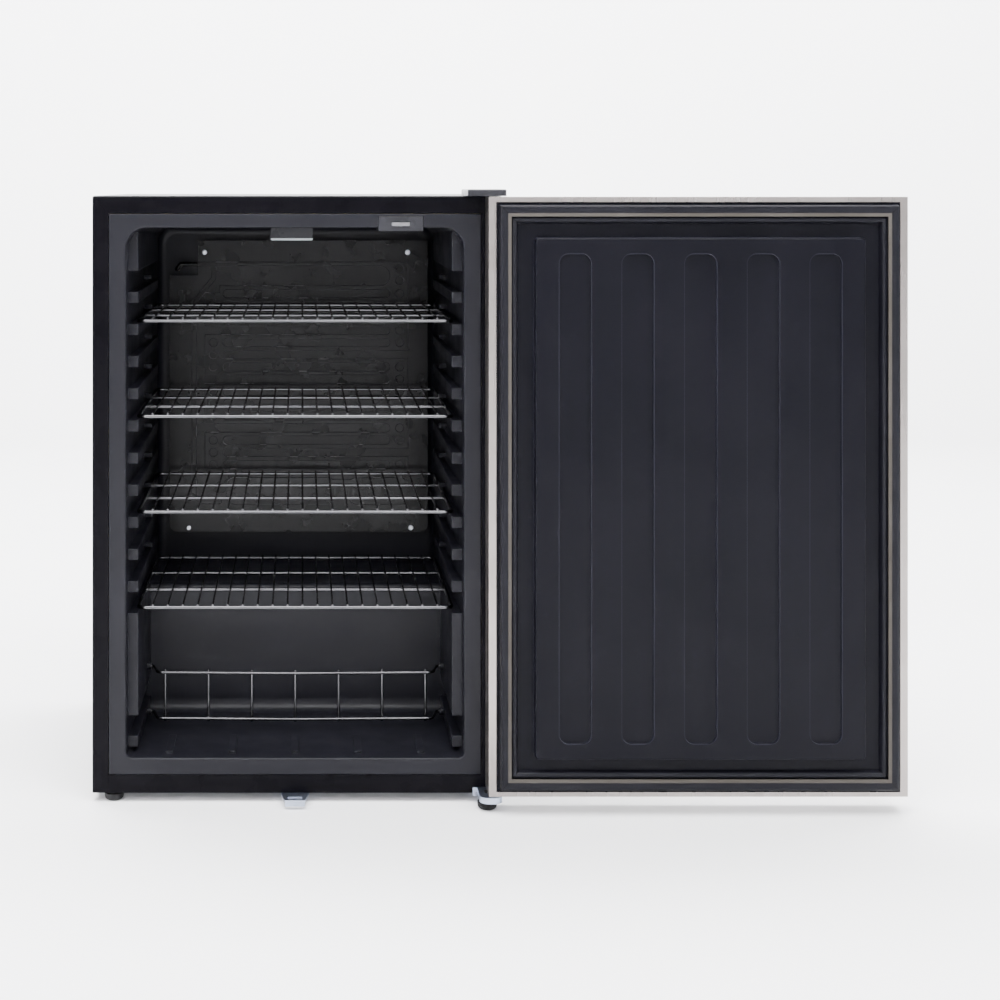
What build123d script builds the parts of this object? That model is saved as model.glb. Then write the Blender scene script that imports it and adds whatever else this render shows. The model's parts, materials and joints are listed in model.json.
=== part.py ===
from build123d import *
import os

# Mini fridge, standing on the floor with its door swung wide open.
# Millimetres. X runs to the right, Y runs from the front plane of the cabinet to the back, Z is up.
# The origin is on the floor, midway between the sides, in the plane of the cabinet's front flange.

# ---------------------------------------------------------------- driving dimensions
cabinet_width = 550.0
cabinet_depth = 450.0
cabinet_height = 809.0
foot_height = 13.0
sheet = 1.0                     # painted steel
wrap_bend = 3.0                 # outside radius of the cabinet's bent front edges and top corners
liner_wall = 1.8                # moulded inner liner
touch = 0.3                     # air left between pieces that move past each other
seam = 0.6                      # visible joint line between the liner flange and the steel

side_flange = 22.0              # steel border seen from the front, left and right
top_flange = 24.0
rail_height = 24.0
hem_depth = 9.0                 # the flange's inner edge is folded back this far
rear_return = 13.0              # folded edge at the back and along the bottom
rail_foot = 30.0                # bottom leg of the front and rear rails

liner_flange_side = 23.4
liner_flange_top = 18.9
liner_flange_bottom = 22.4
liner_rim = 3.0                 # thickness of the liner's front flange
rear_insulation = 50.0
side_draft = 10.0               # the cavity narrows this much on each side towards the back
roof_draft = 7.0
floor_fall = 0.0
opening_top_radius = 28.0
opening_bottom_radius = 8.0
rear_corner_radius = 14.0
mouth_radius = 2.5

compartment_depth = 202.0       # compressor recess at the bottom of the back
compartment_height = 192.0
hump_front_insulation = 36.0
hump_roof_insulation = 41.0
hump_nose_radius = 9.0
hump_foot_radius = 18.0
hump_foot_sink = 0.4            # the hollow foot meets the floor at a slight angle

rib_pitch = 44.0
rib_height = 15.0
rib_count = 10
rib_below_opening = 88.5        # top face of the highest rib, below the opening's top edge
rib_inset = 14.5                # the ribs stand in this far from the opening's side edge
rib_start = 25.0
rib_end_gap = 55.0
rib_edge = 1.5
shelf_every = 3                 # a shelf rests on every third rib
shelf_count = 4
nub_reach = 1.5                 # the tilt stops stand in this far beyond the ribs
nub_height = 6.0
nub_length = 12.0
nub_lift = 7.0
upper_panel_drop = 6.5
upper_panel_height = 53.0
lower_panel_foot = 50.0
floor_rail_height = 15.0
floor_rail_lift = 7.0
floor_rib_count = 5
floor_rib_pitch = 86.0
floor_rib_width = 10.0
floor_rib_rise = 3.5
floor_rib_start = 20.0
floor_rib_length = 70.0

shelf_wire = 5.0
cross_wire = 4.9
grid_wire = 2.8
weld = 0.4                      # crossing wires sink into each other by this much
shelf_front = 45.0
shelf_back_gap = 44.0
shelf_corner = 10.0
grid_count = 20
grid_margin = 20.0

door_overhang = 3.0
door_lift = 12.0                # door's lower edge above the cabinet's lower edge
door_drop = 1.0                 # door's top edge below the cabinet's top
door_thickness = 45.0
door_stand_off = 12.0           # from the cabinet's front plane to the door's rear lips
door_bend = 3.0
door_lip_side = 10.0
door_lip_top = 7.0
door_lip_bottom = 6.0
door_open_angle = 180.0
hinge_from_edge = 10.3          # hinge axis to the door's hinge-side edge
hinge_forward = 30.0            # hinge axis in front of the cabinet's front plane

plateau_side = 60.0
plateau_top = 54.0
plateau_bottom = 53.0
plateau_rise = 15.0
plateau_corner = 5.0
plateau_edge = 2.6
groove_count = 5
groove_width = 42.5
groove_pitch = 82.7
groove_margin = 21.0
groove_depth = 4.5
groove_corner = 13.0
groove_edge = 1.0

gasket_inset = 13.5
gasket_inset_ends = 10.5
gasket_width = 25.0
gasket_gap = 0.6
magnet_width = 6.0
magnet_height = 2.0

pin_radius = 4.0
pin_fit = 0.05
bush_wall = 3.0
bush_length = 24.0
hinge_plate = 3.0

half_width = cabinet_width / 2
body_bottom = foot_height
body_top = foot_height + cabinet_height
opening_half = half_width - side_flange - seam - liner_flange_side
opening_top = body_top - top_flange - seam - liner_flange_top
opening_bottom = body_bottom + rail_height + seam + liner_flange_bottom
cavity_depth = cabinet_depth - rear_insulation
rear_half = opening_half - side_draft
panel_back = cabinet_depth - sheet          # outer face of the back panel
panel_front = panel_back - sheet
compartment_y = cabinet_depth - compartment_depth
compartment_top = body_bottom + compartment_height
hump_y = compartment_y - hump_front_insulation
hump_top = compartment_top + hump_roof_insulation
rib_inner = opening_half - rib_inset
first_rib_top = opening_top - rib_below_opening
rib_end = cavity_depth - rib_end_gap
rib_tops = [first_rib_top - rib_pitch * n for n in range(rib_count + 1)]
shelf_tops = [rib_tops[1 + shelf_every * n] for n in range(shelf_count)]

door_half = half_width + door_overhang
door_bottom = body_bottom + door_lift
door_top = body_top - door_drop
lip_y = -door_stand_off
face_y = lip_y - door_thickness
hinge_x = door_half - hinge_from_edge
hinge_y = -hinge_forward
hinge_axis = Axis((hinge_x, hinge_y, 0), (0, 0, 1))
upright = (0, 0, 1)
backward = (0, 1, 0)


# ---------------------------------------------------------------- helpers
def block(x0, x1, y0, y1, z0, z1):
    return Pos((x0 + x1) / 2, (y0 + y1) / 2, (z0 + z1) / 2) * Box(x1 - x0, y1 - y0, z1 - z0)


def rod(start, direction, length, radius):
    return Solid.make_cylinder(radius, length, Plane(origin=start, z_dir=direction))


def ring(start, direction, length, outer, inner):
    return rod(start, direction, length, outer) - rod(start, direction, length, inner)


def pipe(points, bend, radius):
    path = FilletPolyline(*points, radius=bend)
    heading = Vector(*points[1]) - Vector(*points[0])
    return sweep(Plane(origin=points[0], z_dir=heading) * Circle(radius), path=path)


def facing(y):
    """A plane seen from the front: its own x is X and its own y is Z."""
    return Plane(origin=(0, y, 0), x_dir=(1, 0, 0), z_dir=(0, -1, 0))


def rounded(x0, x1, z0, z1, top_radius, bottom_radius):
    """A rectangle in a facing plane with its own radius at the top and at the bottom corners."""
    outline = Pos((x0 + x1) / 2, (z0 + z1) / 2) * Rectangle(x1 - x0, z1 - z0)
    outline = fillet(outline.vertices().group_by(Axis.Y)[-1], top_radius)
    return fillet(outline.vertices().group_by(Axis.Y)[0], bottom_radius)


def slab(outline, y0, y1):
    """A flat outline in a facing plane given depth from y0 back to y1."""
    return extrude(facing(y1) * outline, y1 - y0)


def frame_slab(x, z0, z1, width, y0, y1):
    """A rectangular ring of the given width, x either side of the middle."""
    outer = Pos(0, (z0 + z1) / 2) * Rectangle(2 * x, z1 - z0)
    inner = Pos(0, (z0 + z1) / 2) * Rectangle(2 * (x - width), z1 - z0 - 2 * width)
    return slab(outer - inner, y0, y1)


def both_sides(x0, x1, y0, y1, z0, z1):
    return block(x0, x1, y0, y1, z0, z1) + block(-x1, -x0, y0, y1, z0, z1)


def opened(shape):
    """A door piece is drawn with the door shut, then swung to the open rest position."""
    return shape.rotate(hinge_axis, door_open_angle)


def write(name, *shapes):
    solids = [solid for shape in shapes for solid in shape.solids()]
    export_step(solids[0] if len(solids) == 1 else Compound(solids), f"parts/{name}.step")


os.makedirs("parts", exist_ok=True)

# ---------------------------------------------------------------- places shared by several pieces
control_left, control_right = 113.0, 174.0
control_middle = (control_left + control_right) / 2
control_bottom = opening_top - 4.5
control_top = control_bottom + 20.0
control_depth = 50.0
control_fit = 0.2
control = (control_left, control_right, 0, control_depth, control_bottom, control_top)

lamp_left, lamp_right = -35.0, 25.0
lamp_front, lamp_back = 136.0, 164.0
lamp_lens_bottom = opening_top - 21.5
lamp_lens_thickness = 3.0
lamp_bottom = lamp_lens_bottom + lamp_lens_thickness
lamp_top = lamp_bottom + 28.0
lamp = (lamp_left, lamp_right, lamp_front, lamp_back, lamp_bottom, lamp_top)

drain_x, drain_y = 40.0, compartment_y + 127.0
drain_outer, drain_inner, drain_flange = 7.0, 5.0, 11.0
drain_flange_thickness = 1.5

suction_x, suction_y = 200.0, compartment_y + 100.0
suction_radius = 3.5
capillary_x, capillary_y = 230.0, compartment_y + 177.0
capillary_radius = 1.2
tube_into_foam = 26.0
tube_play = 0.2

joint_tube_radius = 3.5
joint_tube_x, joint_tube_z = -188.0, 703.0
joint_tube_run = 14.0           # how far it goes on into the foam

foot_stud_radius = 4.0
foot_pad_radius = 13.0
left_foot_x, left_foot_y = -(half_width - 28.5), 15.0
right_foot_x, right_foot_y = hinge_x - 9.7, hinge_y + 9.0
insert_radius = 8.0
insert_height = 12.0
hinge_screw_radius = 2.0
top_hinge_screws = [(hinge_x - 18.0, 14.0), (hinge_x - 18.0, 34.0), (hinge_x - 2.0, 24.0)]
bottom_hinge_screws = [(hinge_x - 20.0, 14.0), (hinge_x - 20.0, 26.0)]
backing_plate = 3.0
screw_into_body = 9.0
panel_screw_radius = 1.6
panel_screw_depth = 6.0
panel_screw_zs = [compartment_top + 40 + n * (body_top - compartment_top - 80) / 3 for n in range(4)]
panel_screw_x = half_width - rear_return / 2 - sheet / 2
panel_screw_places = [(s * panel_screw_x, z) for s in (-1, 1) for z in panel_screw_zs]
keeper_plate = 2.5
keeper_screw_places = [(-12.0, 18.0), (12.0, 18.0)]
screw_past_pan = 4.0            # how far the screws from below go on into the foam


# ---------------------------------------------------------------- cavity
def cavity(grow):
    """The air space inside the cabinet, grown outwards by a wall thickness."""
    front = rounded(-opening_half - grow, opening_half + grow, opening_bottom - grow,
                    opening_top + grow, opening_top_radius + grow, opening_bottom_radius + grow)
    back = rounded(-rear_half - grow, rear_half + grow, opening_bottom - floor_fall - grow,
                   opening_top - roof_draft + grow, opening_top_radius + grow,
                   opening_bottom_radius + grow)
    rear_y = cavity_depth + grow
    space = loft([facing(0) * front, facing(rear_y) * back])
    space -= hump(grow)
    rear_edges = space.edges().filter_by(lambda e: e.bounding_box().min.Y > rear_y - 0.01)
    rear_edges = rear_edges.filter_by(lambda e: e.center().Z > hump_top + 5)
    space = fillet(rear_edges, rear_corner_radius + grow)
    for solid in moulded_blocks(grow):
        space -= solid
    return space


def hump(grow):
    """The step over the compressor recess, full width, with a rounded nose and a hollow foot."""
    y, z = hump_y + grow, hump_top - grow
    floor = opening_bottom - grow - hump_foot_sink
    ahead, behind = hump_y - 60, cavity_depth + 60
    nose, foot = (y, z), (y, floor)
    side = make_face(Polyline((behind, 0), (behind, z), nose, foot, (ahead, floor), (ahead, 0),
                              close=True))
    side = fillet(side.vertices().sort_by_distance(nose)[0], hump_nose_radius - grow)
    side = fillet(side.vertices().sort_by_distance(foot)[0], hump_foot_radius + grow)
    return extrude(Plane.YZ * side, opening_half + 40, both=True)


def moulded_blocks(grow):
    """Ribs, tilt stops and panels that stand in from the liner's walls, shrunk by grow."""
    solids = []
    outside = opening_half + 20

    def stand(x_inner, y0, y1, z0, z1, edge):
        for side in (-1, 1):
            low, high = sorted((side * (x_inner + grow), side * outside))
            piece = block(low, high, y0 + grow, y1 - grow, z0 + grow, z1 - grow)
            if edge > grow:
                inner_face = piece.faces().sort_by(Axis.X)[0 if side > 0 else -1]
                piece = fillet(inner_face.edges(), edge - grow / 2)
            solids.append(piece)

    for top in rib_tops[:rib_count]:
        stand(rib_inner, rib_start, rib_end, top - rib_height, top, rib_edge if not grow else 0)
        nub_y = (rib_start + rib_end) / 2 + 35
        stand(rib_inner - nub_reach, nub_y - nub_length / 2, nub_y + nub_length / 2,
              top + nub_lift, top + nub_lift + nub_height, 0)
    upper_top = opening_top - upper_panel_drop
    edge = rib_edge if not grow else 0
    stand(rib_inner, rib_start, rib_end, upper_top - upper_panel_height, upper_top, edge)
    stand(rib_inner, rib_start, rib_end, opening_bottom + lower_panel_foot, rib_tops[rib_count], edge)
    rail_bottom = opening_bottom + floor_rail_lift
    stand(rib_inner, rib_start, hump_y + 20, rail_bottom, rail_bottom + floor_rail_height, edge)
    for n in range(floor_rib_count):
        x = (n - (floor_rib_count - 1) / 2) * floor_rib_pitch
        solids.append(block(x - floor_rib_width / 2 + grow, x + floor_rib_width / 2 - grow,
                            floor_rib_start + grow, floor_rib_start + floor_rib_length - grow,
                            opening_bottom - 20, opening_bottom - 0.5 + floor_rib_rise - grow))
    return solids


air = cavity(0)
liner_outside = cavity(liner_wall)

# ---------------------------------------------------------------- cabinet steelwork
def outer_wrap():
    """One sheet folded over both sides and the top, with its front border mitred at the corners."""
    inner_x, inner_z = half_width - side_flange, body_top - top_flange

    def bent_box(shrink):
        """The wrap's envelope, with its front edges and top corners bent to a small radius."""
        box = block(-half_width + shrink, half_width - shrink, shrink, cabinet_depth + 20,
                    body_bottom - 20, body_top - shrink)
        bends = box.faces().sort_by(Axis.Y)[0].edges().sort_by(Axis.Z)[1:]
        bends += box.edges().filter_by(Axis.Y).group_by(Axis.Z)[-1]
        return fillet(bends, wrap_bend - shrink)

    skin = bent_box(0) - bent_box(sheet)
    skin -= block(-inner_x, inner_x, -1, sheet + 1, body_bottom - 30, inner_z)
    skin &= block(-half_width, half_width, 0, cabinet_depth, body_bottom, body_top)
    hem = block(-inner_x - sheet, inner_x + sheet, 0, hem_depth, body_bottom, inner_z + sheet)
    hem -= block(-inner_x, inner_x, -1, hem_depth + 1, body_bottom - 1, inner_z)
    back = block(-half_width, half_width, panel_back, cabinet_depth, body_bottom, body_top)
    back_x = half_width - rear_return
    back -= block(-back_x, back_x, panel_back - 1, cabinet_depth + 1, body_bottom - 1,
                  body_top - rear_return)
    sills = both_sides(back_x, half_width, 0, cabinet_depth, body_bottom, body_bottom + sheet)
    wrap = skin + (hem + back + sills & bent_box(0))
    mitre_groove, mitre_width = 0.3, 0.6
    corner_run = (side_flange ** 2 + top_flange ** 2) ** 0.5
    for side in (-1, 1):
        line = Polyline((side * half_width, body_top), (side * inner_x, inner_z))
        angle = Vector(side_flange * -side, -top_flange, 0).get_angle(Vector(1, 0, 0))
        middle = Pos(side * (half_width - side_flange / 2), body_top - top_flange / 2)
        cut = middle * Rot(0, 0, -angle) * Rectangle(corner_run - 4, mitre_width)
        wrap -= slab(cut, -1, mitre_groove)
    for x, y in top_hinge_screws:
        wrap -= rod((x, y, body_top - 2 * sheet), upright, 4 * sheet, hinge_screw_radius)
    for x, z in panel_screw_places:
        wrap -= rod((x, panel_front - 1, z), backward, 6, panel_screw_radius)
    return wrap


def front_rail():
    """Channel across the bottom of the front, under the liner's flange."""
    end = half_width - side_flange
    rail = block(-end, end, 0, sheet, body_bottom, body_bottom + rail_height)
    rail += block(-end, end, 0, rail_foot, body_bottom, body_bottom + sheet)
    top = body_bottom + rail_height
    rail += block(-end, end, 0, hem_depth, top - sheet, top)
    rail -= rod((left_foot_x, left_foot_y, body_bottom - 1), upright, 4, foot_stud_radius + 0.5)
    return rail - screws_from_below(body_bottom - 1)


def rear_rail():
    end = half_width - rear_return
    rail = block(-end, end, panel_back, cabinet_depth, body_bottom, body_bottom + rail_height)
    rail += block(-end, end, cabinet_depth - rail_foot, cabinet_depth, body_bottom, body_bottom + sheet)
    rail -= rod((gland_x, panel_back - 1, gland_z), backward, 4, gland_neck)
    return rail


def screws_from_below(low):
    """Space taken by the keeper's and the bottom hinge's screws, from the height low upwards."""
    high = body_bottom + 2 * sheet + screw_past_pan
    shanks = [rod((x, y, low), upright, high - low, panel_screw_radius) for x, y in keeper_screw_places]
    shanks += [rod((x, y, low), upright, high - low, hinge_screw_radius) for x, y in bottom_hinge_screws]
    return Compound(shanks)


def base_pan():
    """Floor of the insulated box."""
    end = half_width - sheet
    pan = block(-end, end, hem_depth + sheet, compartment_y, body_bottom + sheet, body_bottom + 2 * sheet)
    pan -= rod((left_foot_x, left_foot_y, body_bottom), upright, 4, foot_stud_radius + 0.5)
    return pan - screws_from_below(body_bottom - 1)


def compartment_panel():
    """Step-shaped sheet that closes the insulation around the compressor recess."""
    end = half_width - sheet
    low = body_bottom + 2 * sheet
    wall = block(-end, end, compartment_y, compartment_y + sheet, low, compartment_top)
    roof = block(-end, end, compartment_y, panel_front, compartment_top - sheet, compartment_top)
    panel = wall + roof
    holes = [(drain_x, drain_y, drain_outer), (suction_x, suction_y, suction_radius),
             (capillary_x, capillary_y, capillary_radius)]
    for x, y, radius in holes:
        panel -= rod((x, y, compartment_top - 5), upright, 10, radius + tube_play)
    return panel


def back_panel():
    end = half_width - sheet
    panel = block(-end, end, panel_front, panel_back, compartment_top - sheet, body_top - sheet)
    panel = fillet(panel.edges().filter_by(Axis.Y).group_by(Axis.Z)[-1], wrap_bend - sheet)
    for x, z in panel_screw_places:
        panel -= rod((x, panel_front - 1, z), backward, 4, panel_screw_radius)
    return panel


def pan_screw(seat, inward, length, shank_radius, head_radius, head_height):
    """Pan-headed sheet screw: seat is the point under its head, inward the way it was driven."""
    outward = -Vector(inward)
    head = rod(seat, outward, head_height, head_radius)
    rim = head.edges().filter_by(GeomType.CIRCLE).sort_by(Axis(seat, outward))[-1]
    return rod(seat, inward, length, shank_radius) + fillet(rim, head_height / 2)


def cabinet_screws():
    head_radius, head_height = 3.6, 2.0
    for x, z in panel_screw_places:
        yield pan_screw((x, cabinet_depth, z), (0, -1, 0), panel_screw_depth, panel_screw_radius,
                        head_radius, head_height)
    length = keeper_plate + 2 * sheet + screw_past_pan
    for x, y in keeper_screw_places:
        yield pan_screw((x, y, body_bottom - keeper_plate), upright, length, panel_screw_radius,
                        head_radius, head_height)


# ---------------------------------------------------------------- liner and insulation
def wall_openings(play):
    """What passes through the liner and the foam, each with some play round it."""
    x0, x1, y0, y1, z0, z1 = control
    yield block(x0 - play, x1 + play, y0 - 1, y1 + play, z0 - 10, z1 + play)
    x0, x1, y0, y1, z0, z1 = lamp
    yield block(x0 - play, x1 + play, y0 - play, y1 + play, z0, z1 + play)
    yield rod((drain_x, drain_y, compartment_top - 3), upright, 60, drain_outer + play)
    yield rod((joint_tube_x, cavity_depth - 5, joint_tube_z), backward, 5 + joint_tube_run + play,
              joint_tube_radius + play)


def inner_liner():
    """Moulded one-piece lining: front flange, walls with shelf ribs, and the step at the back."""
    x = opening_half + liner_flange_side
    low, high = opening_bottom - liner_flange_bottom, opening_top + liner_flange_top
    flange = block(-x, x, 0, liner_rim, low, high)
    outer_edges = flange.faces().sort_by(Axis.Y)[0].edges()
    flange = fillet(outer_edges, 1.2)
    liner = flange + liner_outside - air
    mouth = liner.faces().sort_by(Axis.Y)[0].inner_wires()[0].edges()
    liner = fillet(mouth, mouth_radius)
    for opening in wall_openings(control_fit):
        liner -= opening
    return liner


def insulation_foam():
    end = half_width - sheet
    foam = block(-end, end, hem_depth + sheet, panel_front, body_bottom + 2 * sheet, body_top - sheet)
    foam = fillet(foam.edges().filter_by(Axis.Y).group_by(Axis.Z)[-1], wrap_bend - sheet)
    foam -= block(-end - 1, end + 1, compartment_y, panel_front + 1, 0, compartment_top)
    foam -= liner_outside
    for opening in wall_openings(control_fit):
        foam -= opening
    foam -= rod((left_foot_x, left_foot_y, body_bottom), upright, insert_height + 12, insert_radius)
    foam -= rod((suction_x, suction_y, compartment_top), upright, tube_into_foam, suction_radius)
    foam -= rod((capillary_x, capillary_y, compartment_top), upright, tube_into_foam, capillary_radius)
    foam -= hinge_backing_space()
    foam -= screws_from_below(body_bottom)
    for x, z in panel_screw_places:
        foam -= rod((x, cabinet_depth - panel_screw_depth, z), backward, 6, panel_screw_radius)
    return foam


# ---------------------------------------------------------------- evaporator
evaporator_gap = 15.0           # behind the plate
evaporator_sheet = 1.5
evaporator_back = cavity_depth - evaporator_gap
evaporator_front = evaporator_back - evaporator_sheet
evaporator_left, evaporator_right = -200.0, 209.0
evaporator_bottom = hump_top + 42.0
evaporator_top = opening_top - 29.5
channel_rise = 2.0
channel_gap = 5.8
row_pitch = 19.3
row_count = 16
row_height = row_pitch - channel_gap
row_left, row_right = -115.0, 149.0
manifold = 28.5                 # width of the turning space at each end of the rows
dot_radius = 6.6
feed_height = 31.6              # tall bare field under the top channel
evaporator_screws = [(-144.0, evaporator_top - 19), (177.0, evaporator_top - 19),
                     (-169.0, evaporator_bottom + 6.5), (182.0, evaporator_bottom + 6.5)]
screw_radius = 2.0
notch_width, notch_height = 45.0, 55.0


def stroke(points, width):
    """A channel of constant width along straight runs with round joints."""
    line = None
    for (x0, z0), (x1, z1) in zip(points, points[1:]):
        run = Vector(x1 - x0, z1 - z0)
        turn = Vector(1, 0).get_signed_angle(run, Vector(0, 0, 1))
        bar = Pos((x0 + x1) / 2, (z0 + z1) / 2) * Rot(0, 0, turn)
        piece = bar * Rectangle(run.length, width) + Pos(x0, z0) * Circle(width / 2)
        piece += Pos(x1, z1) * Circle(width / 2)
        line = piece if line is None else line + piece
    return line


def channel_field():
    """Outline of the inflated channels: a double-row zigzag, a feed line and two collectors."""
    top = evaporator_top - 34.3
    first_row = top - channel_gap - feed_height - channel_gap - row_height / 2
    left, right = row_left - manifold, row_right + manifold
    last_row = first_row - row_pitch * (row_count - 1)
    bottom = last_row + row_height / 2
    field = rounded(left, right, bottom, top, 14, 10)
    feed_low = first_row + row_height / 2 + channel_gap
    field -= Pos((left - 30 + row_right) / 2, feed_low + feed_height / 2) * SlotOverall(
        row_right - left + 30, feed_height)
    field -= Pos(left, feed_low + 6) * Rectangle(46, 34)
    for x in (row_right + manifold / 2 + 1,):
        for lift in (feed_low + 8, feed_low + feed_height - 5):
            field -= Pos(x, lift) * Circle(dot_radius)
    for n in range(row_count - 1):
        z = first_row - row_pitch * n
        field -= Pos((row_left + row_right) / 2, z) * SlotOverall(row_right - row_left, row_height)
        open_left, open_right = n % 4 == 3, n % 4 == 1 and n > 1
        if open_left:
            field -= Pos((left - 10 + row_left + 20) / 2, z) * Rectangle(row_left - left + 30, row_height)
        elif n > 0:
            field -= Pos(row_left - manifold / 2 - 1, z) * Circle(dot_radius)
        if open_right:
            field -= Pos((right + 10 + row_right - 20) / 2, z) * Rectangle(right - row_right + 30, row_height)
        else:
            field -= Pos(row_right + manifold / 2 + 1, z) * Circle(dot_radius)
    field += stroke([(evaporator_left + notch_width + 1, top - 3.5), (left + 40, top - 3.5)], 7)
    return_x = left - 17
    collector_top = bottom - 8
    collector_bottom = collector_top - 42
    field += stroke([(left + 14, top - 6), (left + 14, feed_low + 12), (return_x, first_row - 14),
                     (return_x, collector_bottom + 12), (return_x + 14, collector_bottom + 4),
                     (return_x + 40, collector_bottom + 4)], 7)
    for x0, x1, columns in ((row_left + 6, 62.0, 8), (84.0, right, 4)):
        tank = rounded(x0, x1, collector_bottom, collector_top, 12, 12)
        for column in range(columns):
            for z in (collector_bottom + 14, collector_top - 14):
                x = x0 + (column + 0.5) * (x1 - x0) / columns
                tank -= Pos(x, z) * Circle(3.6)
        field += tank
    field += stroke([(right - 14, bottom + 6), (right - 14, collector_top - 4)], 10)
    field += stroke([(60, collector_top - 6), (86, collector_top - 6)], 6)
    return field


def evaporator_plate():
    """Bonded aluminium sheet with its refrigerant channels blown up on the front side."""
    outline = rounded(evaporator_left, evaporator_right, evaporator_bottom, evaporator_top, 3, 12)
    outline -= Pos(evaporator_left + notch_width / 2, evaporator_top - notch_height / 2) * Rectangle(
        notch_width, notch_height)
    plate = slab(outline, evaporator_front, evaporator_back)
    plate += slab(channel_field() & outline, evaporator_front - channel_rise, evaporator_front)
    for x, z in evaporator_screws:
        plate -= rod((x, evaporator_front - 5, z), backward, 10, screw_radius + 0.1)
    return plate


def evaporator_standoffs():
    for x, z in evaporator_screws:
        yield ring((x, evaporator_back, z), backward, evaporator_gap, 7.0, screw_radius)


def evaporator_screw_set():
    head_radius, head_height = 4.2, 2.2
    for x, z in evaporator_screws:
        head = rod((x, evaporator_front - head_height, z), backward, head_height, head_radius)
        head = fillet(head.edges().sort_by(Axis.Y)[0], 1.4)
        shank = rod((x, evaporator_front, z), backward, evaporator_sheet + 10, screw_radius)
        slot_depth = 0.8
        cross = block(x - 2.6, x + 2.6, evaporator_front - 5, evaporator_front - head_height + slot_depth,
                      z - 0.5, z + 0.5)
        cross += block(x - 0.5, x + 0.5, evaporator_front - 5,
                       evaporator_front - head_height + slot_depth, z - 2.6, z + 2.6)
        yield head + shank - cross


def evaporator_joint_tube():
    """Refrigerant tube from the plate's notch round into the rear wall."""
    y = evaporator_front + evaporator_sheet / 2
    notch_edge = evaporator_left + notch_width
    plate_z = evaporator_top - 34.3 - 3.5
    start = (notch_edge, y, plate_z)
    bend_x = joint_tube_x + 6
    points = [start, (bend_x, y, plate_z), (joint_tube_x, y, joint_tube_z),
              (joint_tube_x, cavity_depth + joint_tube_run, joint_tube_z)]
    return pipe(points, [2.5, 3.8], joint_tube_radius)


# ---------------------------------------------------------------- control and lamp
control_wall = 1.6
wheel_radius = 17.0
wheel_thickness = 5.0
wheel_bottom = control_bottom + 7.0
wheel_proud = 4.0               # how far the rim stands out of the front plane
wheel_y = wheel_radius - wheel_proud
axle_radius = 2.5
wheel_window_play = 1.0
knurl_count = 60
thermostat_front = wheel_y + wheel_radius + 2.0


def control_housing():
    """Box let into the top flange, with a window for the thermostat wheel."""
    x0, x1, y0, y1, z0, z1 = control
    body = block(*control)
    front_edges = body.faces().sort_by(Axis.Y)[0].edges()
    body = fillet(front_edges, 1.0)
    w = control_wall
    body -= block(x0 + w, x1 - w, y0 + w, y1 - w, z0 + w, z1 - w)
    half = (wheel_radius ** 2 - wheel_y ** 2) ** 0.5 + 2 * wheel_window_play
    body -= block(control_middle - half, control_middle + half, y0 - 1, y0 + w + 1,
                  wheel_bottom - wheel_window_play, wheel_bottom + wheel_thickness + wheel_window_play)
    return body - rod((control_middle, wheel_y, z0 - 1), upright, z1 - z0 + 2, axle_radius + pin_fit)


def thermostat_wheel():
    teeth = Circle(wheel_radius)
    for n in range(knurl_count):
        notch = Rot(0, 0, 360 / knurl_count * n) * Pos(wheel_radius + 0.35, 0) * Circle(0.75)
        teeth -= notch
    wheel = extrude(teeth, wheel_thickness)
    axle_low, axle_high = control_bottom + touch, control_top - touch
    axle = rod((0, 0, axle_low - wheel_bottom), upright, axle_high - axle_low, axle_radius)
    return Pos(control_middle, wheel_y, wheel_bottom) * (wheel + axle)


def thermostat_body():
    w = control_wall
    return block(control_middle - 22, control_middle + 22, thermostat_front, control_depth - w,
                 control_bottom + w, control_top - w)


def lamp_housing():
    x0, x1, y0, y1, z0, z1 = lamp
    w = control_wall
    return block(*lamp) - block(x0 + w, x1 - w, y0 + w, y1 - w, z0 - 1, z1 - w)


def lamp_board():
    x0, x1, y0, y1, z0, z1 = lamp
    w = control_wall
    board_thickness, led_size, led_count = 1.6, 5.0, 4
    middle = (y0 + y1) / 2
    board = block(x0 + w, x1 - w, y0 + w, y1 - w, z1 - w - board_thickness, z1 - w)
    pitch = (x1 - x0) / (led_count + 1)
    for n in range(led_count):
        x = x0 + pitch * (n + 1)
        board += block(x - led_size / 2, x + led_size / 2, middle - led_size / 2, middle + led_size / 2,
                       z1 - w - board_thickness - 2.0, z1 - w - board_thickness)
    return board


def lamp_lens():
    x0, x1, y0, y1, z0, z1 = lamp
    w = control_wall
    cap = block(x0, x1, y0, y1, lamp_lens_bottom, z0)
    cap = fillet(cap.faces().sort_by(Axis.Z)[0].edges(), 2.0)
    spigot = block(x0 + w, x1 - w, y0 + w, y1 - w, z0, z0 + 3)
    return cap + (spigot - block(x0 + 2 * w, x1 - 2 * w, y0 + 2 * w, y1 - 2 * w, z0, z0 + 3))


# ---------------------------------------------------------------- bottle guard
guard_y = 126.0
guard_return_y = 158.0
guard_wire = 2.0                # radius
guard_bow = 5.0
guard_low = opening_bottom + 14.5
guard_high = opening_bottom + 80.0
guard_half = rib_inner - 8.0
guard_bar_count = 7
guard_bar_pitch = 62.0
peg_radius = 5.0


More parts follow.
